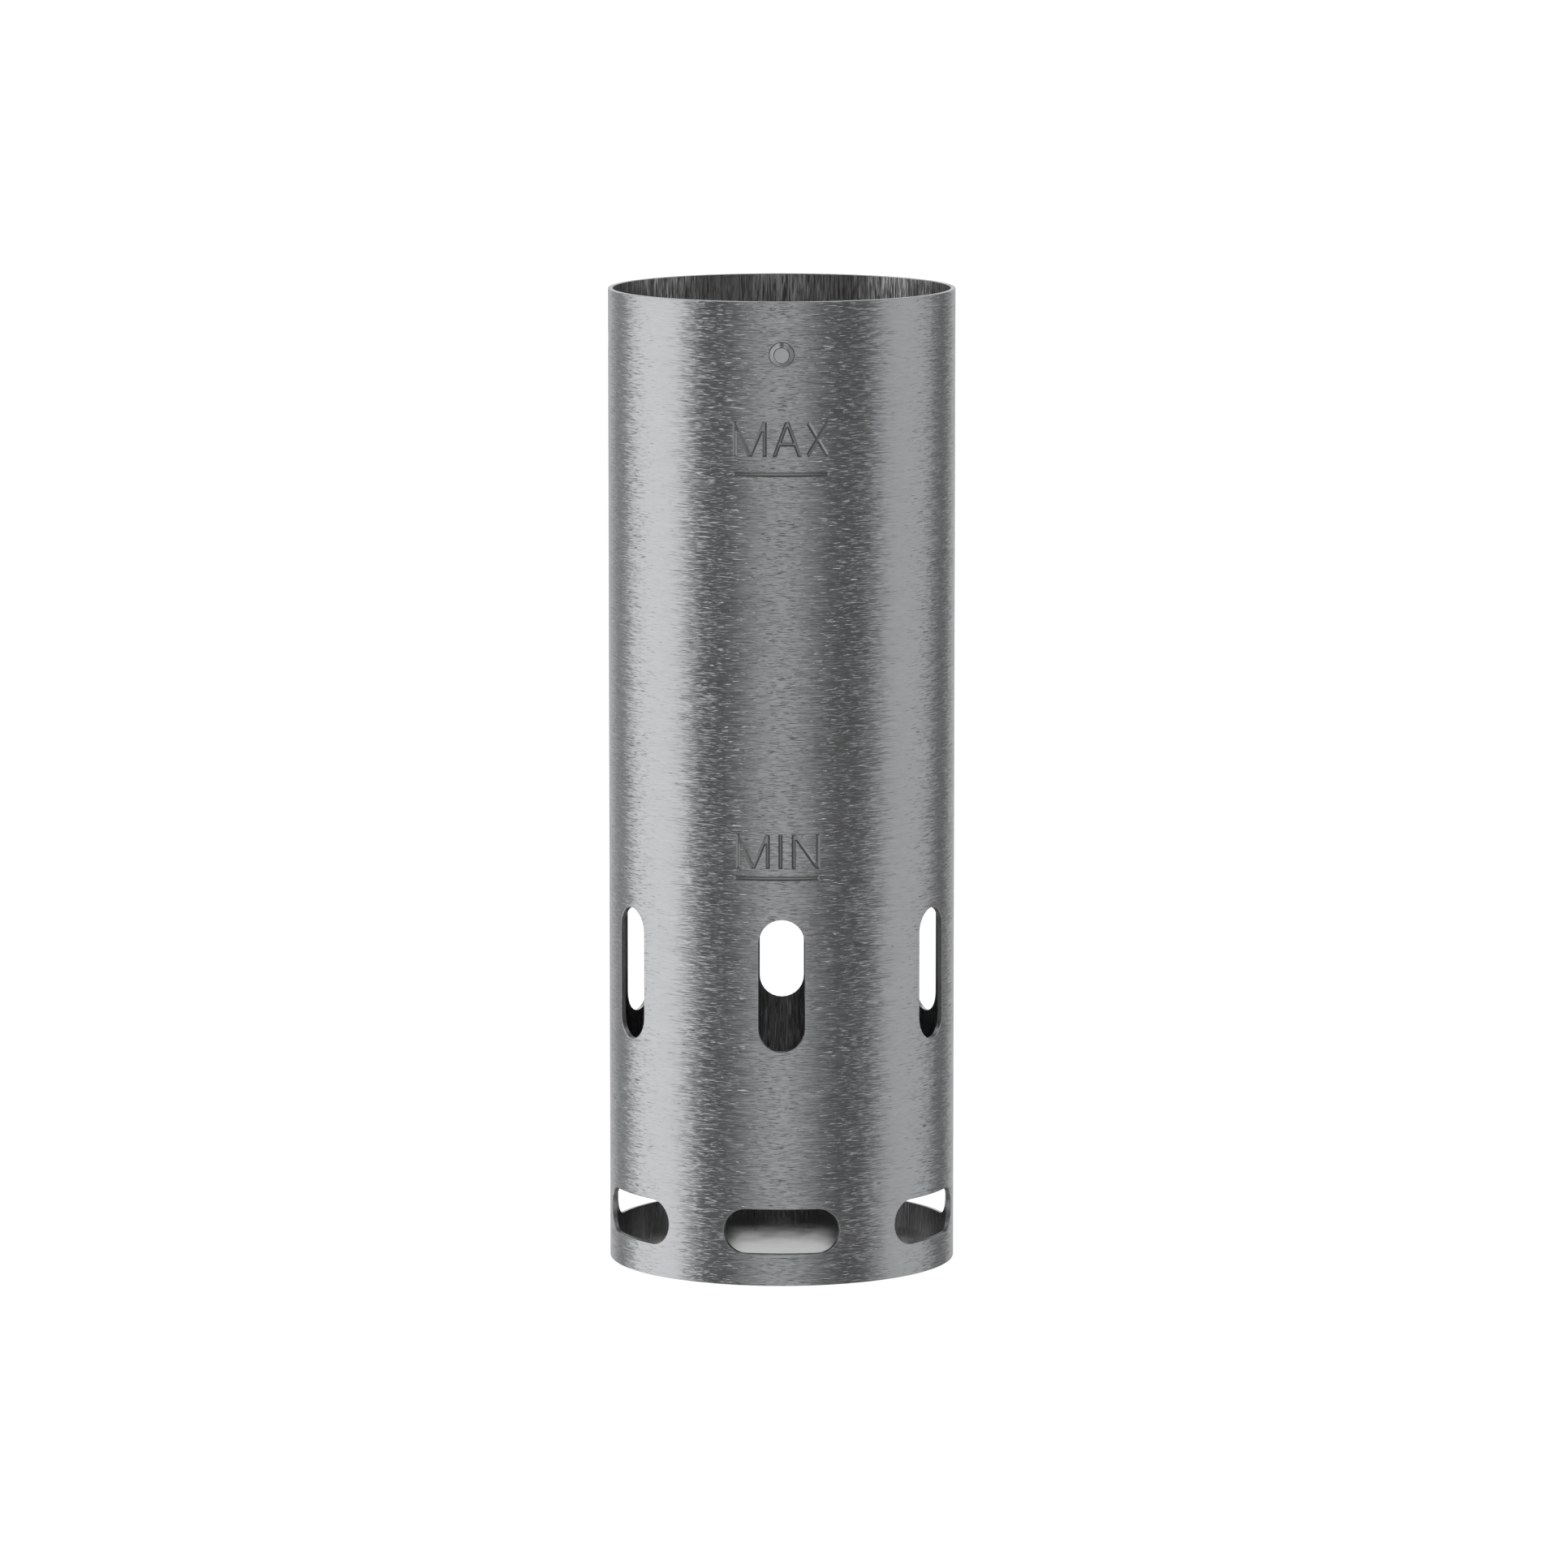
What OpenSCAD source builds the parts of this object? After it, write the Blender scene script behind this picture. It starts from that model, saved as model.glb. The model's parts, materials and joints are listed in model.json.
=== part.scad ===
/* [Sleeve] */
// Outside diameter of the sleeve
sleeve_d = 58; // [54:0.5:64]
// Height from the underside of the base to the open rim
sleeve_h = 163.8; // [162:0.2:190]
// Thickness of the rolled sheet
wall = 0.8; // [0.6:0.1:1]

/* [Base plate] */
// Thickness of the disc that closes the lower end
base_t = 0.8; // [0.6:0.1:1.5]
// Depth of the step inside the sleeve's lower edge that the disc seats in
base_step = 0.4; // [0.3:0.05:0.5]

/* [Outlet slots] */
// Number of upright slots around the sleeve
outlet_count = 6; // [4:1:8]
// Width of an upright slot
outlet_w = 7.8; // [5:0.1:10]
// Overall height of an upright slot
outlet_h = 22.2; // [14:0.2:30]
// Height of an upright slot's middle above the underside
outlet_z = 50.4; // [40:0.1:52]

/* [Inlet slots] */
// Number of lying slots around the foot
inlet_count = 6; // [4:1:6]
// Width of a lying slot, straight across
inlet_w = 19.4; // [12:0.2:20]
// Height of a lying slot
inlet_h = 7.6; // [4:0.1:8]
// Height of a lying slot's middle above the underside
inlet_z = 9.1; // [7:0.1:12]

/* [Locating button and latch hole] */
// Height of the button's and the hole's middle above the underside
lock_z = 155.1; // [150:0.1:157]
// Diameter of the pressed button at its foot
button_foot_d = 3.9; // [3:0.1:6]
// Diameter of the button's flat crest
button_crest_d = 2.6; // [1.6:0.1:2.8]
// How far the crest stands out from the sleeve
button_rise = 0.7; // [0.3:0.1:0.8]
// Diameter of the latch hole
latch_d = 4.1; // [3:0.1:6]
// Place of the latch hole around the sleeve, from the front
latch_angle = -88; // [-120:1:-60]

/* [Water-level marks] */
// Depth of the engraving
mark_depth = 0.1; // [0.1:0.05:0.3]
// Width of a letter's stroke
stroke_w = 0.7; // [0.4:0.1:0.9]
// Height of a capital letter
letter_h = 5.8; // [4:0.2:7]
// Height of the upper water line above the underside
max_line_z = 135.4; // [120:0.2:140]
// Height of the lower water line above the underside
min_line_z = 68.4; // [66:0.2:80]
// Thickness of a water line
line_t = 0.8; // [0.4:0.1:1.2]
// Gap between the upper water line and its word
max_gap = 2.5; // [1:0.1:3]
// Gap between the lower water line and its word
min_gap = 1.2; // [1:0.1:3]

/* [Hidden] */
$fn = 96;
eps = 0.01;

sleeve_r = sleeve_d / 2;
bore_r = sleeve_r - wall;
base_r = bore_r + base_step;
// The cutters grow from the axis, and reach this far out
reach = sleeve_r + 4;
spread = reach / sleeve_r;

// A pressed button keeps the sheet's thickness through its 45 degree flank,
// so the hollow behind it is narrower than the button by this much
press_inset = wall * tan(22.5);
flank = (button_foot_d - button_crest_d) / 2 / button_rise;

// Letter widths between the outer strokes' middles
m_w = 4.9;
a_w = 4.2;
x_w = 3.4;
n_w = 4;
// Where each letter starts, from the front centre line
max_starts = [-7.7, -1.2, 4.2];
min_starts = [-7.2, -0.2, 2];
// Both ends of each water line
max_line = [-8, 7.8];
min_line = [-7.8, 6.2];

// A cone that grows from the axis towards the front and has radius r at the sleeve
module front_cone(r) {
    rotate([90, 0, 0])
        cylinder(h = reach, r1 = 0, r2 = r * spread);
}

// Cutter for one upright slot: every side runs straight towards the axis
module outlet_cutter() {
    half_straight = (outlet_h - outlet_w) / 2;
    half_w = outlet_w / 2 * spread;
    for (side = [-1, 1])
        translate([0, 0, side * half_straight])
            front_cone(outlet_w / 2);
    translate([0, 0, -half_straight])
        linear_extrude(height = 2 * half_straight)
            polygon([[0, 0], [-half_w, -reach], [half_w, -reach]]);
}

// Cutter for one lying slot: two round ends and the ring sector between them
module inlet_cutter() {
    end_angle = asin(inlet_w / sleeve_d) - asin(inlet_h / sleeve_d);
    half_h = inlet_h / 2 * spread;
    for (side = [-1, 1])
        rotate([0, 0, side * end_angle])
            front_cone(inlet_h / 2);
    rotate([0, 0, -90 - end_angle])
        rotate_extrude(angle = 2 * end_angle)
            polygon([[0, 0], [reach, -half_h], [reach, half_h]]);
}

// A cone frustum on the front centre line, of radius r at distance y from the axis
module front_frustum(r, y, from_y, to_y) {
    r_from = r + flank * (y - from_y);
    r_to = r + flank * (y - to_y);
    translate([0, -from_y, lock_z])
        rotate([90, 0, 0])
            cylinder(h = to_y - from_y, r1 = r_from, r2 = r_to);
}

// One straight stroke between two points
module stroke(a, b) {
    run = b - a;
    translate(a)
        rotate(atan2(run[1], run[0]))
            translate([0, -stroke_w / 2])
                square([norm(run), stroke_w]);
}

// A slanting stroke, cut off level at the letter's foot and head
module slanted(a, b) {
    over = (b - a) / norm(b - a) * stroke_w;
    intersection() {
        stroke(a - over, b + over);
        translate([-stroke_w, 0])
            square([m_w + 2 * stroke_w, letter_h]);
    }
}

module letter_m() {
    stroke([0, 0], [0, letter_h]);
    stroke([m_w, 0], [m_w, letter_h]);
    slanted([0, letter_h], [m_w / 2, 0]);
    slanted([m_w / 2, 0], [m_w, letter_h]);
}

module letter_a() {
    // The bar lies this far up the letter, and reaches both legs
    bar = 0.36;
    slanted([0, 0], [a_w / 2, letter_h]);
    slanted([a_w, 0], [a_w / 2, letter_h]);
    stroke([bar * a_w / 2, bar * letter_h], [(1 - bar / 2) * a_w, bar * letter_h]);
}

module letter_x() {
    slanted([0, 0], [x_w, letter_h]);
    slanted([x_w, 0], [0, letter_h]);
}

module letter_i() {
    stroke([0, 0], [0, letter_h]);
}

module letter_n() {
    stroke([0, 0], [0, letter_h]);
    stroke([n_w, 0], [n_w, letter_h]);
    slanted([0, letter_h], [n_w, 0]);
}

// One water line, drawn from its left end to its right end
module water_line(ends) {
    translate([ends[0], -line_t / 2])
        square([ends[1] - ends[0], line_t]);
}

module upper_mark() {
    water_line(max_line);
    translate([max_starts[0], line_t / 2 + max_gap]) letter_m();
    translate([max_starts[1], line_t / 2 + max_gap]) letter_a();
    translate([max_starts[2], line_t / 2 + max_gap]) letter_x();
}

module lower_mark() {
    water_line(min_line);
    translate([min_starts[0], line_t / 2 + min_gap]) letter_m();
    translate([min_starts[1], line_t / 2 + min_gap]) letter_i();
    translate([min_starts[2], line_t / 2 + min_gap]) letter_n();
}

// Stands a flat mark up at height z and keeps what lies within the engraving's depth
module engraved(z) {
    intersection() {
        translate([0, 0, z])
            rotate([90, 0, 0])
                linear_extrude(height = reach)
                    children();
        difference() {
            cylinder(h = sleeve_h, r = reach);
            translate([0, 0, -eps])
                cylinder(h = sleeve_h + 2 * eps, r = sleeve_r - mark_depth);
        }
    }
}

// Rolled and welded tube with its slots, button, latch hole and marks
module sleeve_tube() {
    color([0.66, 0.67, 0.68])
    difference() {
        union() {
            cylinder(h = sleeve_h, r = sleeve_r);
            front_frustum(button_crest_d / 2, sleeve_r + button_rise, bore_r + wall / 2, sleeve_r + button_rise);
        }
        translate([0, 0, -eps])
            cylinder(h = sleeve_h + 2 * eps, r = bore_r);
        translate([0, 0, -eps])
            cylinder(h = base_t + eps, r = base_r);
        front_frustum(button_crest_d / 2 - press_inset, bore_r + button_rise, bore_r - wall, bore_r + button_rise);
        for (i = [0 : outlet_count - 1])
            rotate([0, 0, i * 360 / outlet_count])
                translate([0, 0, outlet_z])
                    outlet_cutter();
        for (i = [0 : inlet_count - 1])
            rotate([0, 0, i * 360 / inlet_count])
                translate([0, 0, inlet_z])
                    inlet_cutter();
        rotate([0, 0, latch_angle])
            translate([0, 0, lock_z])
                rotate([90, 0, 0])
                    cylinder(h = reach, r = latch_d / 2);
        engraved(max_line_z)
            upper_mark();
        engraved(min_line_z)
            lower_mark();
    }
}

// Flat disc welded into the step of the lower end, flush with the tube's edge
module base_plate() {
    color([0.74, 0.75, 0.76])
        cylinder(h = base_t, r = base_r);
}

sleeve_tube();
base_plate();
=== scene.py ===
import json
from functools import partial
from math import asin, atan, atan2, cos, hypot, pi, radians, sin, tan

import bpy
import numpy as np
from mathutils.geometry import delaunay_2d_cdt
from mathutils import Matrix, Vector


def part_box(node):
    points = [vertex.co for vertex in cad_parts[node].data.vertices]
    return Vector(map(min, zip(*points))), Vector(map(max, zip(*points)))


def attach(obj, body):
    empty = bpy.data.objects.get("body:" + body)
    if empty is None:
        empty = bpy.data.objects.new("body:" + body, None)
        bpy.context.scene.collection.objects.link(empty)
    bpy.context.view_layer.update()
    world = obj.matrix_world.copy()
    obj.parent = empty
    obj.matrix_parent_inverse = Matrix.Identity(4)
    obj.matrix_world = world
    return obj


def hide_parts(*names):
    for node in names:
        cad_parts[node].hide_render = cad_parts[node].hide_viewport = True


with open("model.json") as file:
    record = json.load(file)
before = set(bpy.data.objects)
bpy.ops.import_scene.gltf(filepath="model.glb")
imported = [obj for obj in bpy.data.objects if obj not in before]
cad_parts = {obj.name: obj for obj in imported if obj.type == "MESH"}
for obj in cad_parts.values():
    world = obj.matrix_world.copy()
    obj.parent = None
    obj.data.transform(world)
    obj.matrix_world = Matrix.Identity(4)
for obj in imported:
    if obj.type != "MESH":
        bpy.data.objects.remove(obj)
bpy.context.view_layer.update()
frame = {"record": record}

# Angles around the sleeve run from the front centre line (-Y), positive towards +X.
# Lengths are in millimetres until a mesh or an object is made.
MM = 0.001


def mount(name):
    return next(m for m in frame["record"]["mounts"] if m["name"] == name)


# ---- Sizes that the frame gives ----
tube_low, tube_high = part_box("sleeve_tube")
plate_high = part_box("base_plate")[1]
latch = mount("latch_hole")

SLEEVE_R = tube_high[0] / MM
SLEEVE_H = tube_high[2] / MM
BORE_R = mount("body_bore")["dims"]["r_mm"]
BASE_R = plate_high[0] / MM
BASE_T = plate_high[2] / MM
BUTTON_RISE = -tube_low[1] / MM - SLEEVE_R
LATCH_R = latch["dims"]["r_mm"]
LATCH_TURN = atan2(latch["axis"][0], -latch["axis"][1])
LOCK_Z = latch["pos_m"][2] / MM

# ---- Sizes of what is cut, pressed and engraved, as in the CAD ----
SLOT_TURNS = [radians(60 * i) for i in range(-3, 3)]
OUTLET_W = 7.8
OUTLET_H = 22.2
OUTLET_Z = 50.4
INLET_W = 19.4
INLET_H = 7.6
INLET_Z = 9.1
BUTTON_FOOT_R = 1.95
BUTTON_CREST_R = 1.3
FLANK_LEAN = radians(45)
# The flank keeps the sheet's thickness, so the hollow behind it is narrower by this much
PRESS_INSET = (SLEEVE_R - BORE_R) * tan(FLANK_LEAN / 2)
MARK_DEPTH = 0.1
STROKE_W = 0.7
LETTER_H = 5.8
MAX_LINE_Z = 135.4
MIN_LINE_Z = 68.4
LINE_T = 0.8
MAX_GAP = 2.5
MIN_GAP = 1.2
M_W = 4.9
A_W = 4.2
X_W = 3.4
N_W = 4.0
A_BAR = 0.36
MAX_STARTS = [-7.7, -1.2, 4.2]
MIN_STARTS = [-7.2, -0.2, 2.0]
MAX_LINE = [-8.0, 7.8]
MIN_LINE = [-7.8, 6.2]

# ---- Finish of the sheet ----
EDGE_ROUND = 0.09       # radius left on every cut edge by deburring
EDGE_STEPS = 4          # facets across a rounded edge
MARK_WALL = 0.3         # width of a groove's sloping wall
PRESS_FILLET = 0.2      # how far the press rounds the button's two corners

# ---- How finely the meshes are divided ----
SEAM_TURN = radians(-210)   # the unrolled sheet is cut here, clear of every opening
GRID_TURN = radians(2.5)
GRID_Z = 2.5
CLEAR = 0.45            # free strip between the grid and an outline
ARC_STEPS = 14          # along a slot's round end
OUTLET_SIDE_POINTS = 12
INLET_SIDE_POINTS = 10
ROUND_STEPS = 40        # round the latch hole
BUTTON_STEPS = 48       # round the button
FILLET_RINGS = 7        # across each rounded corner of the button
STROKE_STEP = 0.6       # longest side of a groove's outline
SHORTEST_SIDE = 0.12    # shorter sides of a letter's outline are dropped
WELD_DIGITS = 5         # points that agree to this many decimals are one
STROKE_MERGE = 1e-6     # strokes' points closer than this are one
SHEET_MERGE = 1e-7      # the same for the unrolled sheet

OUTSIDE, INSIDE, CUT, PRESSED, FLANK, ENGRAVED = range(6)


# ---- Mesh building ----
def on_tube(turn, z, radius):
    """Points at angles turn and heights z on the cylinder of that radius."""
    turn, z, radius = np.broadcast_arrays(turn, z, radius)
    return np.stack([radius * np.sin(turn), -radius * np.cos(turn), z], axis=-1)


def outward(turn):
    return on_tube(turn, 0.0, 1.0)


def unit(vectors):
    return vectors / np.linalg.norm(vectors, axis=-1, keepdims=True)


class Shell:
    """Vertices that carry their exact normals, and the faces between them."""

    def __init__(self):
        self.points, self.normals, self.faces, self.slots, self.crisp = [], [], [], [], []

    def add(self, points, normals):
        start = len(self.points)
        self.points.extend(points)
        self.normals.extend(normals)
        return np.arange(start, len(self.points))

    def face(self, corners, slot, crisp=False):
        self.faces.append([int(c) for c in corners])
        self.slots.append(slot)
        self.crisp.append(crisp)

    def strip(self, first, second, slot):
        """Quads between two closed loops with the same number of points."""
        for i in range(len(first)):
            j = (i + 1) % len(first)
            self.face([first[i], first[j], second[j], second[i]], slot)

    def fan(self, loop, centre, slot):
        for i in range(len(loop)):
            self.face([loop[i], loop[(i + 1) % len(loop)], centre], slot)

    def build(self, name, materials):
        """Welds equal points, turns every face outwards and makes the object."""
        points, normals = np.array(self.points), np.array(self.normals)
        rounded = points.round(WELD_DIGITS)
        _, kept, place = np.unique(rounded, axis=0, return_index=True, return_inverse=True)
        place = place.reshape(-1)
        points, normals = points[kept], unit(normals[kept])
        faces, corner_normals = [], []
        for face, crisp in zip(self.faces, self.crisp):
            corners = [place[c] for c in face]
            spot = points[corners]
            across = np.cross(spot[1] - spot[0], spot[-1] - spot[0])
            if len(corners) == 4:
                across += np.cross(spot[3] - spot[2], spot[1] - spot[2])
            if across @ normals[corners].sum(axis=0) < 0:
                corners, across = corners[::-1], -across
            faces.append(corners)
            if crisp:
                corner_normals.extend([unit(across)] * len(corners))
            else:
                corner_normals.extend(normals[corners])
        mesh = bpy.data.meshes.new(name)
        mesh.from_pydata((points * MM).tolist(), [], faces)
        for material in materials:
            mesh.materials.append(material)
        mesh.polygons.foreach_set("material_index", self.slots)
        mesh.shade_smooth()
        mesh.normals_split_custom_set([tuple(n) for n in corner_normals])
        made = bpy.data.objects.new(name, mesh)
        bpy.context.scene.collection.objects.link(made)
        return made


def arc_steps():
    """(share into the edge, share along the skin) of a quarter round, from the skin to the cut."""
    for i in range(EDGE_STEPS + 1):
        yield sin(i * pi / 2 / EDGE_STEPS), cos(i * pi / 2 / EDGE_STEPS)


# ---- Openings: each gives its outline on the cylinder of a radius, grown by a margin ----
def half_circle(r, start):
    a = start + np.linspace(0, pi, ARC_STEPS + 1)
    return r * np.cos(a), r * np.sin(a)


def outlet_loop(turn, radius, grow):
    """Upright slot: sides run straight towards the axis, ends towards a point on it."""
    r = OUTLET_W / 2 + grow
    half = (OUTLET_H - OUTLET_W) / 2
    side_z = np.linspace(half, -half, OUTLET_SIDE_POINTS + 2)[1:-1]
    turns, heights = [], []
    for start, end_z in ((0, half), (pi, -half)):
        u, v = half_circle(r, start)
        angle = np.arctan(u / SLEEVE_R)
        turns.append(angle)
        heights.append(end_z + v * np.cos(angle) * radius / SLEEVE_R)
        turns.append(np.full(len(side_z), -atan(r / SLEEVE_R) * (1 if end_z > 0 else -1)))
        heights.append(side_z if end_z > 0 else -side_z)
    return turn + np.concatenate(turns), OUTLET_Z + np.concatenate(heights)


def inlet_loop(turn, radius, grow):
    """Lying slot: every side runs towards one point on the axis."""
    r = INLET_H / 2 + grow
    end = asin(INLET_W / 2 / SLEEVE_R) - asin(INLET_H / 2 / SLEEVE_R)
    side = np.linspace(end, -end, INLET_SIDE_POINTS + 2)[1:-1]
    turns, heights = [], []
    for start, sign in ((-pi / 2, 1), (pi / 2, -1)):
        u, v = half_circle(r, start)
        angle = np.arctan(u / SLEEVE_R)
        turns += [sign * end + angle, sign * side]
        heights += [v * np.cos(angle), np.full(len(side), sign * r)]
    return turn + np.concatenate(turns), INLET_Z + np.concatenate(heights) * radius / SLEEVE_R


def latch_loop(radius, grow):
    """Round hole with parallel sides."""
    a = np.arange(ROUND_STEPS) * 2 * pi / ROUND_STEPS
    r = LATCH_R + grow
    return LATCH_TURN + np.arcsin(r * np.cos(a) / radius), LOCK_Z + r * np.sin(a)


def openings():
    for turn in SLOT_TURNS:
        yield partial(outlet_loop, turn)
        yield partial(inlet_loop, turn)
    yield latch_loop


def wall_normals(loop):
    """Directions out of the cut face, into the opening, at each point of its outline."""
    outer, inner = (on_tube(*loop(r, 0), r) for r in (SLEEVE_R, BORE_R))
    along = np.roll(outer, -1, axis=0) - np.roll(outer, 1, axis=0)
    facing = unit(np.cross(along, inner - outer))
    centre = outer.mean(axis=0)
    return facing * np.sign(((centre - outer) * facing).sum(axis=1).mean())


def cut_opening(shell, loop):
    """The rounded edges and the cut face of one opening. Returns its edge loops on both skins."""
    facing = wall_normals(loop)
    rings = []
    for skin_r, side in ((SLEEVE_R, 1), (BORE_R, -1)):
        ring = []
        for into, along in arc_steps():
            radius = skin_r - side * EDGE_ROUND * (1 - along)
            turn, z = loop(radius, EDGE_ROUND * (1 - into))
            normal = side * along * outward(turn) + into * facing
            ring.append(shell.add(on_tube(turn, z, radius), normal))
        rings.append(ring)
    outer, inner = rings
    sequence = outer + inner[::-1]
    for a, b in zip(sequence, sequence[1:]):
        shell.strip(a, b, CUT)
    return outer[0], inner[0]


# ---- Button: the sheet is pressed out, so its back is a matching hollow ----
def ramp(x):
    """0 below 0 and 1 above 1, straight between, with both corners rounded."""
    soft = PRESS_FILLET / (BUTTON_FOOT_R - BUTTON_CREST_R)

    def corner(t):
        t = np.clip(t, -soft, soft)
        return (t + soft) ** 2 / (4 * soft)

    return corner(x) + np.maximum(x - soft, 0) - corner(x - 1) - np.maximum(x - 1 - soft, 0)


def button_point(skin_r, inset, rho, a):
    """A point of the button at distance rho from its middle, in direction a."""
    turn = np.arcsin(rho * np.sin(a) / SLEEVE_R)
    share = ramp((BUTTON_FOOT_R - inset - rho) / (BUTTON_FOOT_R - BUTTON_CREST_R))
    radius = skin_r + share * ((skin_r + BUTTON_RISE) / np.cos(turn) - skin_r)
    return on_tube(turn, LOCK_Z + rho * np.cos(a), radius)


def button_normal(point, rho, a):
    """The direction square to the button's surface, from the points just beside this one."""
    step = 1e-3
    out = point(rho + step, a) - point(rho - step, a)
    around = point(rho, a + step) - point(rho, a - step)
    return unit(np.cross(out, around))


def press_button(shell, skin_r, inset, side, flank_slot, crest_slot):
    """Rings of the button on one skin. Returns the outermost, which lies on the cylinder."""
    point = partial(button_point, skin_r, inset)
    a = -np.arange(BUTTON_STEPS) * 2 * pi / BUTTON_STEPS
    foot, crest = BUTTON_FOOT_R - inset, BUTTON_CREST_R - inset
    margin = 0.02               # of the plain tube, kept round the button
    flat_shares = (0.66, 0.33)  # where the flat crest has its rings
    radii = [foot + PRESS_FILLET + margin]
    for corner in (foot, crest):
        radii += list(np.linspace(corner + PRESS_FILLET, corner - PRESS_FILLET, FILLET_RINGS))
    radii += [(crest - PRESS_FILLET) * share for share in flat_shares]
    rings = []
    for rho in radii:
        normal = button_normal(point, rho, a)
        normal *= np.sign(-normal[:, 1:2]) * side
        rings.append(shell.add(point(rho, a), normal))
    for outer, inner, rho in zip(rings, rings[1:], radii[1:]):
        shell.strip(outer, inner, flank_slot if rho > crest - PRESS_FILLET / 2 else crest_slot)
    middle = shell.add([point(0.0, 0.0)], [[0.0, -side, 0.0]])[0]
    shell.fan(rings[-1], middle, crest_slot)
    return rings[0]


# ---- Engraved marks, drawn flat in (x, z) and laid onto the tube ----
def upright(x):
    half = STROKE_W / 2
    return [(x - half, 0), (x + half, 0), (x + half, LETTER_H), (x - half, LETTER_H)]


def slanted(x_foot, x_head):
    half = STROKE_W / 2 * hypot(x_head - x_foot, LETTER_H) / LETTER_H
    return [(x_foot - half, 0), (x_foot + half, 0), (x_head + half, LETTER_H), (x_head - half, LETTER_H)]


def level(x_from, x_to, z, thickness):
    half = thickness / 2
    return [(x_from, z - half), (x_to, z - half), (x_to, z + half), (x_from, z + half)]


LETTERS = {
    "M": [upright(0), upright(M_W), slanted(M_W / 2, 0), slanted(M_W / 2, M_W)],
    "A": [
        slanted(0, A_W / 2),
        slanted(A_W, A_W / 2),
        level(A_BAR * A_W / 2, (1 - A_BAR / 2) * A_W, A_BAR * LETTER_H, STROKE_W),
    ],
    "X": [slanted(0, X_W), slanted(X_W, 0)],
    "I": [upright(0)],
    "N": [upright(0), upright(N_W), slanted(N_W, 0)],
}


def outlines(strokes):
    """The closed outlines of the strokes' union, each with the groove on its left."""
    points, faces = [], []
    for stroke in strokes:
        faces.append(list(range(len(points), len(points) + len(stroke))))
        points += stroke
    verts, _, triangles, _, _, owned = delaunay_2d_cdt(points, [], faces, 0, STROKE_MERGE)
    sides = {}      # every triangle's sides in turn; a set wouldn't keep their order
    for triangle, owners in zip(triangles, owned):
        if owners:
            for i in range(3):
                sides[triangle[i], triangle[(i + 1) % 3]] = True
    border = {a: b for a, b in sides if (b, a) not in sides}
    while border:
        a, b = border.popitem()
        loop = [a]
        while b != loop[0]:
            loop.append(b)
            b = border.pop(b)
        yield straightened(np.array([verts[i][:] for i in loop], float))


def straightened(loop):
    """The loop without tiny steps, and without points that lie on a straight side."""
    least_bend = 0.02
    loop = loop[np.linalg.norm(loop - np.roll(loop, 1, axis=0), axis=1) > SHORTEST_SIDE]
    before, after = loop - np.roll(loop, 1, axis=0), np.roll(loop, -1, axis=0) - loop
    bend = before[:, 0] * after[:, 1] - before[:, 1] * after[:, 0]
    return loop[np.abs(bend) > least_bend]


def inset_loop(loop, distance):
    """The loop moved to its left, with an arc round each corner that points into the groove."""
    along = unit(np.roll(loop, -1, axis=0) - loop)
    left = np.stack([-along[:, 1], along[:, 0]], axis=1)
    points = []
    for corner, before, after in zip(loop, np.roll(left, 1, axis=0), left):
        middle = before + after
        if before[0] * after[1] - before[1] * after[0] > 0:
            points.append(corner + distance * 2 * middle / (middle @ middle))
        else:
            points += [corner + distance * side for side in (before, unit(middle), after)]
    return np.array(points)


def divided(loop):
    """The loop with extra points on its long sides."""
    points = []
    for a, b in zip(loop, np.roll(loop, -1, axis=0)):
        pieces = int(np.linalg.norm(b - a) // STROKE_STEP) + 1
        points += [a + (b - a) * i / pieces for i in range(pieces)]
    return np.array(points)


def marks():
    """Every groove's outline, in (x, z) from the front centre line and the underside."""
    for line_z, line, gap, word, starts in (
        (MAX_LINE_Z, MAX_LINE, MAX_GAP, "MAX", MAX_STARTS),
        (MIN_LINE_Z, MIN_LINE, MIN_GAP, "MIN", MIN_STARTS),
    ):
        yield np.array(level(*line, line_z, LINE_T))
        for letter, start in zip(word, starts):
            for loop in outlines(LETTERS[letter]):
                yield loop + [start, line_z + LINE_T / 2 + gap]


# ---- Skins: the unrolled sheet, triangulated between the grid and every outline ----
def inside(points, loop):
    """Which points lie inside a closed outline."""
    found = np.zeros(len(points), bool)
    for a, b in zip(loop, np.roll(loop, -1, axis=0)):
        crosses = (a[1] > points[:, 1]) != (b[1] > points[:, 1])
        with np.errstate(divide="ignore", invalid="ignore"):
            at = a[0] + (points[:, 1] - a[1]) * (b[0] - a[0]) / (b[1] - a[1])
        found ^= crosses & (points[:, 0] < at)
    return found


def unrolled(points):
    """(arc length, height) of 3-D points, from the seam."""
    turn = (np.arctan2(points[:, 0], -points[:, 1]) - SEAM_TURN) % (2 * pi) + SEAM_TURN
    return np.stack([turn * SLEEVE_R, points[:, 2]], axis=1)


def grid(z_from, z_to):
    """(turns, heights) of an even grid over the unrolled sheet."""
    columns = round(2 * pi / GRID_TURN)
    rows = round((z_to - z_from) / GRID_Z)
    turns = SEAM_TURN + np.arange(columns + 1) * GRID_TURN
    turn, z = np.meshgrid(turns, np.linspace(z_from, z_to, rows + 1))
    return turn.ravel(), z.ravel()


def clear_of(spots, loops):
    """Which spots lie outside every outline, and at least CLEAR away from its points."""
    margin = 2      # how far beyond an outline its neighbours are looked for
    far = 9         # stands for the gap when there are none
    free = np.ones(len(spots), bool)
    for loop in loops:
        reach = np.ptp(loop, axis=0).max() / 2 + margin
        near = np.abs(spots - loop.mean(axis=0)).max(axis=1) < reach
        gap = np.linalg.norm(spots[near][:, None] - loop[None], axis=2).min(axis=1, initial=far)
        free[near] &= (gap > CLEAR) & ~inside(spots[near], loop)
    return free


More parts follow.
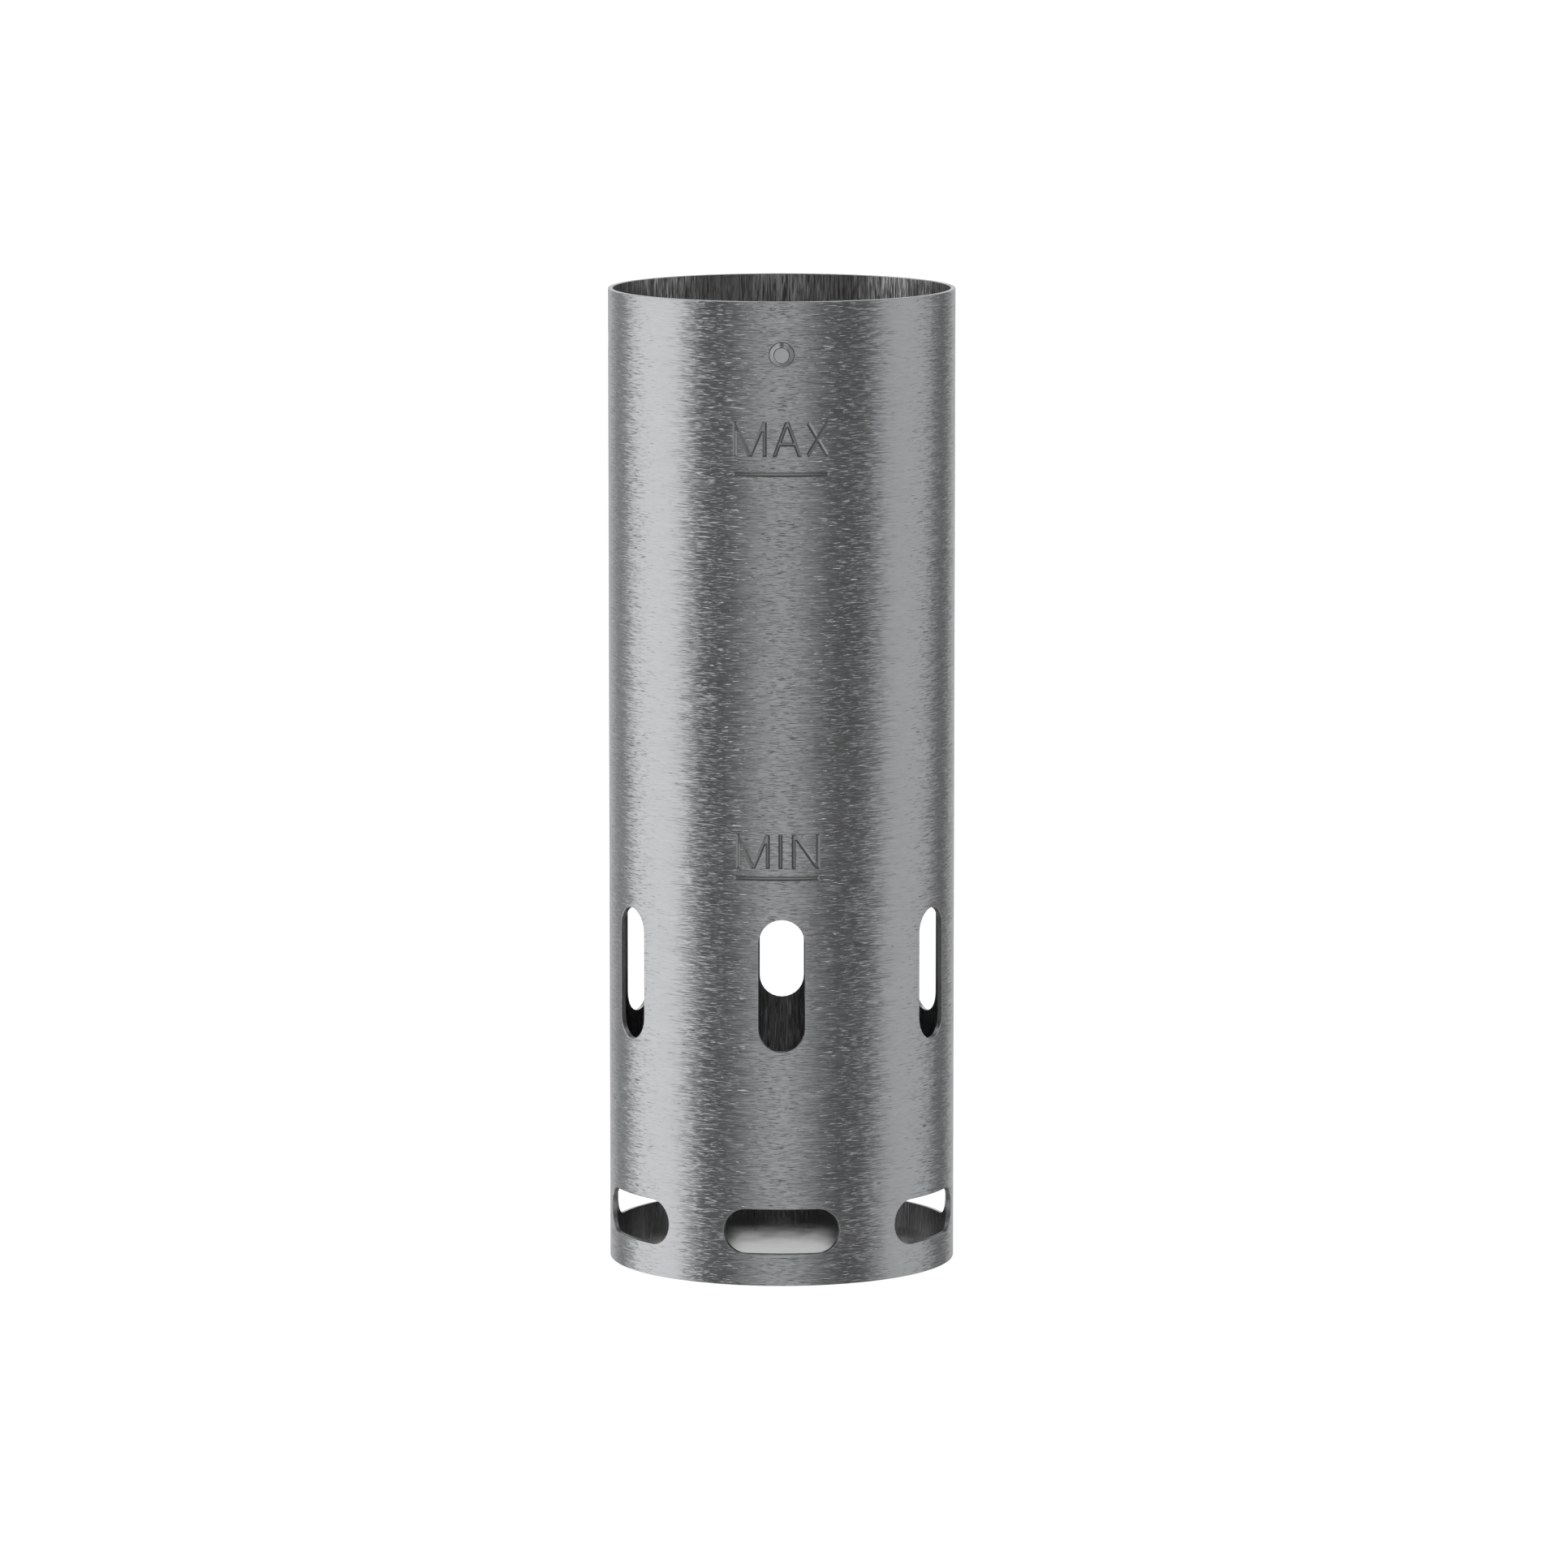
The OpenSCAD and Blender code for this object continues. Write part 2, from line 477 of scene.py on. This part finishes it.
def skin(shell, radius, side, z_from, z_to, holes, grooves, slot):
    """One face of the sheet. Holes are vertex loops of the shell, grooves are outlines in (x, z).

    Every triangle that touches a groove's lowered outline is engraved. A groove's walls, which
    also touch the skin, are crisp."""
    flat, ids, depth, borders = [], [], [], []

    def take(spots, corners, down=0, closed=True):
        start = len(ids)
        flat.extend(spots.tolist())
        ids.extend(corners)
        depth.extend([down] * len(corners))
        if closed:
            borders.append(list(range(start, len(ids))))

    points = np.array(shell.points)
    for hole in holes:
        take(unrolled(points[hole]), hole)
    groove_edge = len(borders)
    for outline in grooves:
        for loop, down in ((outline, 0), (inset_loop(outline, MARK_WALL), 1)):
            loop = divided(loop)
            turn = np.arcsin(loop[:, 0] / SLEEVE_R)
            corners = shell.add(on_tube(turn, loop[:, 1], radius - down * MARK_DEPTH), outward(turn))
            take(np.stack([turn * SLEEVE_R, loop[:, 1]], axis=1), corners, down)

    turn, z = grid(z_from, z_to)
    spots = np.stack([turn * SLEEVE_R, z], axis=1)
    free = clear_of(spots, [np.array([flat[i] for i in border]) for border in borders])
    corners = shell.add(on_tube(turn[free], z[free], radius), side * outward(turn[free]))
    take(spots[free], corners, closed=False)

    _, _, triangles, origins, _, owners = delaunay_2d_cdt(flat, [], borders, 0, SHEET_MERGE)
    cut_out = set(range(groove_edge))
    for triangle, owner in zip(triangles, owners):
        if cut_out & set(owner):
            continue
        own = [origins[i][0] for i in triangle]
        depths = {depth[i] for i in own}
        shell.face([ids[i] for i in own], ENGRAVED if 1 in depths else slot, len(depths) > 1)


# ---- Rims: profiles of (radius, height, normal) turned round the axis ----
def turned(shell, profile, slot):
    turn = SEAM_TURN + np.arange(round(2 * pi / GRID_TURN)) * GRID_TURN
    rings = []
    for radius, z, (out, up) in profile:
        normal = out * outward(turn) + np.array([0, 0, up])
        rings.append(shell.add(on_tube(turn, z, radius), normal))
    for a, b in zip(rings, rings[1:]):
        shell.strip(a, b, slot)
    return rings


def rounded_corner(radius, z, out, up, to_flat):
    """Profile points round an edge between a side that looks out and a flat that looks up.

    out and up are 1 or -1. The points run from the side to the flat, or back if not to_flat."""
    points = []
    for into, along in arc_steps():
        points.append((
            radius - out * EDGE_ROUND * (1 - along),
            z - up * EDGE_ROUND * (1 - into),
            (out * along, up * into),
        ))
    return points if to_flat else points[::-1]


def sleeve(materials):
    shell = Shell()
    outer_holes, inner_holes = [], []
    for loop in openings():
        outer, inner = cut_opening(shell, loop)
        outer_holes.append(outer)
        inner_holes.append(inner)
    outer_holes.append(press_button(shell, SLEEVE_R, 0, 1, FLANK, PRESSED))
    inner_holes.append(press_button(shell, BORE_R, PRESS_INSET, -1, INSIDE, INSIDE))
    skin(shell, SLEEVE_R, 1, EDGE_ROUND, SLEEVE_H - EDGE_ROUND, outer_holes, list(marks()), OUTSIDE)
    skin(shell, BORE_R, -1, BASE_T, SLEEVE_H - EDGE_ROUND, inner_holes, [], INSIDE)
    top = rounded_corner(SLEEVE_R, SLEEVE_H, 1, 1, True) + rounded_corner(BORE_R, SLEEVE_H, -1, 1, False)
    turned(shell, top, CUT)
    lower = rounded_corner(SLEEVE_R, 0, 1, -1, True) + rounded_corner(BASE_R, 0, -1, -1, False)
    lower += [(BASE_R, BASE_T, (-1, -1)), (BORE_R, BASE_T, (-1, -1))]
    turned(shell, lower, CUT)
    return shell.build("sleeve", materials)


def plate(material):
    shell = Shell()
    profile = [(BASE_R / 3, 0, (0, -1)), (BASE_R * 2 / 3, 0, (0, -1))]
    profile += rounded_corner(BASE_R, 0, 1, -1, False) + rounded_corner(BASE_R, BASE_T, 1, 1, True)
    profile += [(BASE_R * 2 / 3, BASE_T, (0, 1)), (BASE_R / 3, BASE_T, (0, 1))]
    rings = turned(shell, profile, 0)
    for ring, z, up in ((rings[0], 0, -1), (rings[-1], BASE_T, 1)):
        shell.fan(ring, shell.add([[0, 0, z]], [[0, 0, up]])[0], 0)
    return shell.build("foot_disc", [material])


# ---- Materials ----
NOISE_RANGE = (0.3, 0.7)        # nearly all of a noise texture's values lie between these
TILT_RANGE = (0.38, 0.62)       # noise at or past these values tilts a streak all the way
LAYER_SHIFT = (0, 0, 3.7)       # moves one layer of streaks off the last
PICK_SHIFT = (7.3, 2.9, 4.1)    # moves the noise that picks streaks off the one that tilts them


class Nodes:
    """Short forms for adding and joining nodes."""

    def __init__(self, owner):
        owner.use_nodes = True
        self.tree = owner.node_tree
        self.tree.nodes.clear()

    def add(self, kind, inputs=None, **settings):
        node = self.tree.nodes.new(kind)
        for key, value in settings.items():
            setattr(node, key, value)
        for key, value in (inputs or {}).items():
            socket = node.inputs[key]
            if isinstance(value, bpy.types.NodeSocket):
                self.tree.links.new(value, socket)
            else:
                socket.default_value = value
        return node

    def math(self, operation, *values):
        return self.add("ShaderNodeMath", dict(enumerate(values)), operation=operation).outputs[0]

    def vector(self, operation, inputs):
        return self.add("ShaderNodeVectorMath", inputs, operation=operation).outputs[0]

    def ranged(self, value, low, high, to_low, to_high, smooth=False):
        mode = "SMOOTHSTEP" if smooth else "LINEAR"
        inputs = {"Value": value, "From Min": low, "From Max": high, "To Min": to_low, "To Max": to_high}
        return self.add("ShaderNodeMapRange", inputs, interpolation_type=mode).outputs["Result"]

    def spread(self, noise, low, high):
        """The noise, carried from its usual range to the one between low and high."""
        return self.ranged(noise, *NOISE_RANGE, low, high)

    def tint(self, noise, low, high):
        """A colour between low and high, by the noise."""
        mixed = self.add("ShaderNodeValToRGB", {"Fac": self.spread(noise, 0, 1)})
        for element, colour in zip(mixed.color_ramp.elements, (low, high)):
            element.color = (*colour, 1)
        return mixed.outputs["Color"]

    def place(self):
        """Each point's place in the object's own axes, in metres."""
        return self.add("ShaderNodeTexCoord").outputs["Object"]

    def mapped(self, size, shift=(0, 0, 0)):
        """The place, divided by size (x, y, z, in mm) and then moved."""
        scale = [1 / (s * MM) for s in size]
        inputs = {"Vector": self.place(), "Location": shift, "Scale": scale}
        return self.add("ShaderNodeMapping", inputs).outputs[0]

    def stretched(self, size, detail):
        """Noise whose features measure size (x, y, z, in mm)."""
        inputs = {"Vector": self.mapped(size), "Scale": 1.0, "Detail": detail, "Roughness": 0.6}
        return self.add("ShaderNodeTexNoise", inputs).outputs["Fac"]

    def bumped(self, height, depth):
        """The surface normal over a relief of that depth in mm."""
        inputs = {"Height": height, "Strength": 1.0, "Distance": depth * MM}
        return self.add("ShaderNodeBump", inputs).outputs[0]

    def tilts(self, place, reach, reach_z):
        """Noise turned into tilts of at most reach in x and y, and reach_z in z."""
        noise = self.add("ShaderNodeTexNoise", {"Vector": place, "Scale": 1.0, "Detail": 1.0})
        lean = self.add("ShaderNodeMapRange", data_type="FLOAT_VECTOR", interpolation_type="SMOOTHSTEP")
        self.tree.links.new(noise.outputs["Color"], lean.inputs["Vector"])
        sockets = {socket.identifier: socket for socket in lean.inputs}
        for end, value, sign in zip(("Min", "Max"), TILT_RANGE, (-1, 1)):
            sockets[f"From_{end}_FLOAT3"].default_value = (value, value, value)
            sockets[f"To_{end}_FLOAT3"].default_value = (sign * reach, sign * reach, sign * reach_z)
        return lean.outputs["Vector"]

    def scratched(self, *layers):
        """The surface normal tilted by layers of streaks.

        Each layer is the streaks' size in mm, the greatest tilts across and along z (as added to
        a normal of length 1), the share of them left between the streaks, and the part of the
        noise's range over which a streak fades in."""
        normal = self.add("ShaderNodeNewGeometry").outputs["Normal"]
        for i, (size, reaches, between, fade) in enumerate(layers):
            place = self.mapped(size, [i * part for part in LAYER_SHIFT])
            apart = self.add("ShaderNodeMapping", {"Vector": place, "Location": PICK_SHIFT}).outputs[0]
            pick = self.add("ShaderNodeTexNoise", {"Vector": apart, "Scale": 1.0, "Detail": 1.0})
            share = self.ranged(pick.outputs["Fac"], *fade, between, 1.0, smooth=True)
            tilt = self.vector("SCALE", {0: self.tilts(place, *reaches), "Scale": share})
            normal = self.vector("ADD", {0: normal, 1: tilt})
        return self.vector("NORMALIZE", {0: normal})


def metal(name):
    """A new metal material, its nodes and its shader."""
    material = bpy.data.materials.new(name)
    nodes = Nodes(material)
    shader = nodes.add("ShaderNodeBsdfPrincipled", {"Metallic": 1.0})
    nodes.add("ShaderNodeOutputMaterial", {"Surface": shader.outputs[0]})
    return material, nodes, shader


def connect(nodes, shader, **sockets):
    """Links values to the shader's sockets, whose names have spaces for the underscores."""
    for key, value in sockets.items():
        nodes.tree.links.new(value, shader.inputs[key.replace("_", " ")])


def stretch_gleam(nodes, shader, amount):
    """Spreads the reflections along z more than around it."""
    tangent = nodes.add("ShaderNodeTangent", direction_type="RADIAL", axis="Z")
    connect(nodes, shader, Tangent=tangent.outputs[0])
    quarter_turn = 0.25
    shader.inputs["Anisotropic"].default_value = amount
    shader.inputs["Anisotropic Rotation"].default_value = quarter_turn


def brushed_around():
    """The outside: short streaks round the tube, and longer, flatter ones under them."""
    material, nodes, shader = metal("steel_brushed_around")
    fine = nodes.stretched((2, 2, 0.22), 3)
    patches = nodes.stretched((9, 9, 3), 2)
    connect(
        nodes, shader,
        Base_Color=nodes.tint(fine, (0.575, 0.585, 0.595), (0.625, 0.635, 0.645)),
        Roughness=nodes.spread(patches, 0.27, 0.33),
        Normal=nodes.scratched(
            ((1.7, 1.7, 0.12), (0.08, 0.5), 0.06, (0.46, 0.59)),
            ((5.0, 5.0, 0.11), (0.07, 0.06), 0.2, (0.42, 0.58)),
        ),
    )
    stretch_gleam(nodes, shader, 0.6)
    return material


def drawn_lengthwise():
    """The inside: streaks up the tube. Its base colour is darkened below the rim as painted shade and
    lightened near the rim as painted light.
    """
    material, nodes, shader = metal("steel_drawn_lengthwise")
    fine = nodes.stretched((0.16, 0.16, 5), 3)
    coarse = nodes.stretched((0.6, 0.6, 14), 2)
    height = nodes.add("ShaderNodeSeparateXYZ", {"Vector": nodes.place()}).outputs["Z"]
    # Painted light and shade: the base colour grows lighter towards the rim, standing in for the light
    # that falls in through the open top.
    shade_painted_below, light_painted_above = 110 * MM, 152 * MM
    painted_light_and_shade = nodes.ranged(height, shade_painted_below, light_painted_above, 0.30, 0.54, smooth=True)
    connect(
        nodes, shader,
        Base_Color=nodes.math("MULTIPLY", nodes.spread(fine, 0.86, 1.14), painted_light_and_shade),
        Roughness=nodes.spread(coarse, 0.26, 0.34),
        Normal=nodes.scratched(
            ((0.18, 0.18, 2.5), (0.05, 0.13), 0.4, (0.45, 0.6)),
            ((0.25, 0.25, 9.0), (0.05, 0.08), 0.3, (0.42, 0.58)),
        ),
    )
    stretch_gleam(nodes, shader, 0.5)
    return material


def cut_edge():
    """Rims and the walls of the slots and the hole: fine grain without a direction."""
    material, nodes, shader = metal("steel_cut_edge")
    grain = nodes.stretched((0.3, 0.3, 0.3), 3)
    connect(
        nodes, shader,
        Base_Color=nodes.tint(grain, (0.54, 0.55, 0.56), (0.66, 0.67, 0.68)),
        Roughness=nodes.spread(grain, 0.3, 0.45),
        Normal=nodes.bumped(grain, 0.01),
    )
    return material


def pressed_smooth():
    """The button's crest, flattened smooth by the press."""
    material, nodes, shader = metal("steel_pressed")
    grain = nodes.stretched((0.8, 0.8, 0.3), 2)
    connect(
        nodes, shader,
        Base_Color=nodes.tint(grain, (0.62, 0.63, 0.64), (0.70, 0.71, 0.72)),
        Roughness=nodes.spread(grain, 0.24, 0.3),
        Normal=nodes.bumped(grain, 0.002),
    )
    return material


def drawn_flank():
    """The button's flank, where the sheet was drawn out."""
    material, nodes, shader = metal("steel_drawn_flank")
    grain = nodes.stretched((0.25, 0.6, 0.25), 2)
    connect(
        nodes, shader,
        Base_Color=nodes.tint(grain, (0.39, 0.40, 0.40), (0.45, 0.46, 0.46)),
        Roughness=nodes.spread(grain, 0.28, 0.34),
        Normal=nodes.scratched(((0.4, 0.4, 0.2), (0.05, 0.05), 0.2, (0.5, 0.7))),
    )
    return material


def engraved():
    """The floor and the walls of the marks' grooves."""
    material, nodes, shader = metal("steel_engraved")
    grain = nodes.stretched((0.5, 0.5, 0.5), 2)
    connect(
        nodes, shader,
        Base_Color=nodes.tint(grain, (0.40, 0.41, 0.41), (0.43, 0.44, 0.44)),
        Roughness=nodes.spread(grain, 0.24, 0.3),
        Normal=nodes.scratched(((0.5, 0.5, 0.4), (0.01, 0.01), 0.3, (0.5, 0.7))),
    )
    return material


def smooth_sheet():
    """The disc: rolling marks along x, and slow clouds."""
    material, nodes, shader = metal("steel_smooth_sheet")
    rolling = nodes.stretched((14, 0.25, 14), 3)
    cloud = nodes.stretched((5, 5, 5), 2)
    height = nodes.math("ADD", nodes.math("MULTIPLY", rolling, 0.5), nodes.math("MULTIPLY", cloud, 0.5))
    connect(
        nodes, shader,
        Base_Color=nodes.tint(cloud, (0.76, 0.77, 0.77), (0.84, 0.845, 0.85)),
        Roughness=nodes.spread(cloud, 0.20, 0.26),
        Normal=nodes.bumped(height, 0.003),
    )
    return material


# ---- Studio: a world of softboxes, a floor and the camera ----
# Each softbox, in degrees seen from the sleeve: azimuth of its middle from the camera's side,
# half width, elevation of its middle, half height, softness of its edge; and its strength.
# In this order: the left and right boxes, the front box and its lower strip, the two small
# high ones that the streaks glint in, the back box and its upper strip, two faint ones
# between the sides and the back, and the light from straight above and from the floor.
SOFTBOXES = (
    (-94, 28.2, 0, 80, 9, 0.86),
    (94.5, 26.5, 0, 80, 9, 0.45),
    (-1.5, 22, -8, 20, 15, 0.40),
    (-1.5, 22, -30, 8, 6, 0.6),
    (-42, 13, 55, 10, 9, 2.3),
    (43, 13, 55, 10, 9, 2.1),
    (180, 30, 0, 60, 14, 0.50),
    (180, 34, 26, 12, 8, 0.5),
    (-140, 18, 0, 60, 14, 0.11),
    (142, 16, 0, 60, 14, 0.02),
    (0, 180, 90, 25, 20, 0.04),
    (0, 180, -90, 25, 20, 0.45),
)
FILL = 0.10     # strength of the light from everywhere else


def studio():
    world = bpy.data.worlds.new("studio")
    bpy.context.scene.world = world
    nodes = Nodes(world)
    way = nodes.add("ShaderNodeTexCoord").outputs["Generated"]
    part = nodes.add("ShaderNodeSeparateXYZ", {"Vector": way}).outputs
    azimuth = nodes.math("ARCTAN2", part["X"], nodes.math("MULTIPLY", part["Y"], -1.0))
    elevation = nodes.math("ARCSINE", part["Z"])
    total = FILL
    for middle, half, height, half_height, soft, strength in SOFTBOXES:
        off = nodes.math("SUBTRACT", azimuth, radians(middle))
        off = nodes.math("ABSOLUTE", nodes.math("WRAP", off, pi, -pi))
        over = nodes.math("ABSOLUTE", nodes.math("SUBTRACT", elevation, radians(height)))
        sides = radians(half - soft), radians(half + soft)
        ends = radians(half_height - soft), radians(half_height + soft)
        across = nodes.ranged(off, *sides, strength, 0.0, smooth=True)
        upward = nodes.ranged(over, *ends, 1.0, 0.0, smooth=True)
        total = nodes.math("ADD", total, nodes.math("MULTIPLY", across, upward))
    lit = nodes.add("ShaderNodeBackground", {"Color": (1, 1, 1, 1), "Strength": total})
    seen = nodes.add("ShaderNodeBackground", {"Color": (1, 1, 1, 1), "Strength": 1.0})
    path = nodes.add("ShaderNodeLightPath").outputs["Is Camera Ray"]
    mixed = nodes.add("ShaderNodeMixShader", {0: path, 1: lit.outputs[0], 2: seen.outputs[0]})
    nodes.add("ShaderNodeOutputWorld", {"Surface": mixed.outputs[0]})


FLOOR_REACH = 20.0          # metres each way
FLOOR_DROP = 0.02           # below the underside, so that the two faces don't meet


def floor_plane():
    """A plain pale floor, which the metal doesn't mirror."""
    mesh = bpy.data.meshes.new("floor")
    corners = [(x * FLOOR_REACH, y * FLOOR_REACH, 0) for x, y in ((-1, -1), (1, -1), (1, 1), (-1, 1))]
    mesh.from_pydata(corners, [], [(0, 1, 2, 3)])
    material = bpy.data.materials.new("pale_floor")
    nodes = Nodes(material)
    paint = {"Base Color": (0.3, 0.3, 0.3, 1), "Roughness": 0.9}
    glow = {"Emission Color": (1, 1, 1, 1), "Emission Strength": 0.93}
    shader = nodes.add("ShaderNodeBsdfPrincipled", paint | glow)
    nodes.add("ShaderNodeOutputMaterial", {"Surface": shader.outputs[0]})
    mesh.materials.append(material)
    made = bpy.data.objects.new("floor", mesh)
    made.location.z = -FLOOR_DROP * MM
    made.visible_glossy = False
    bpy.context.scene.collection.objects.link(made)


# The camera that was fitted to the photo's outlines
CAMERA_SIDE = 0.38
CAMERA_BACK = 1487.4
CAMERA_UP = 287.55
CAMERA_TILT = radians(7.9375)
CAMERA_LENS = 205.17
CAMERA_SENSOR = 36
CAMERA_SIGHT = 100.0        # metres


def camera():
    data = bpy.data.cameras.new("camera")
    data.lens = CAMERA_LENS
    data.sensor_width = CAMERA_SENSOR
    data.clip_end = CAMERA_SIGHT
    made = bpy.data.objects.new("camera", data)
    made.location = (CAMERA_SIDE * MM, -CAMERA_BACK * MM, CAMERA_UP * MM)
    made.rotation_euler = (pi / 2 - CAMERA_TILT, 0, 0)
    bpy.context.scene.collection.objects.link(made)
    bpy.context.scene.camera = made


# ---- Pieces ----
# The tube's materials, in the order of the slots OUTSIDE to ENGRAVED
finishes = [brushed_around, drawn_lengthwise, cut_edge, pressed_smooth, drawn_flank, engraved]
tube = sleeve([finish() for finish in finishes])
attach(tube, "root")
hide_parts("sleeve_tube")

disc = plate(smooth_sheet())
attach(disc, "root")
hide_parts("base_plate")

floor_plane()
studio()
camera()
bpy.context.scene.view_settings.view_transform = "Standard"
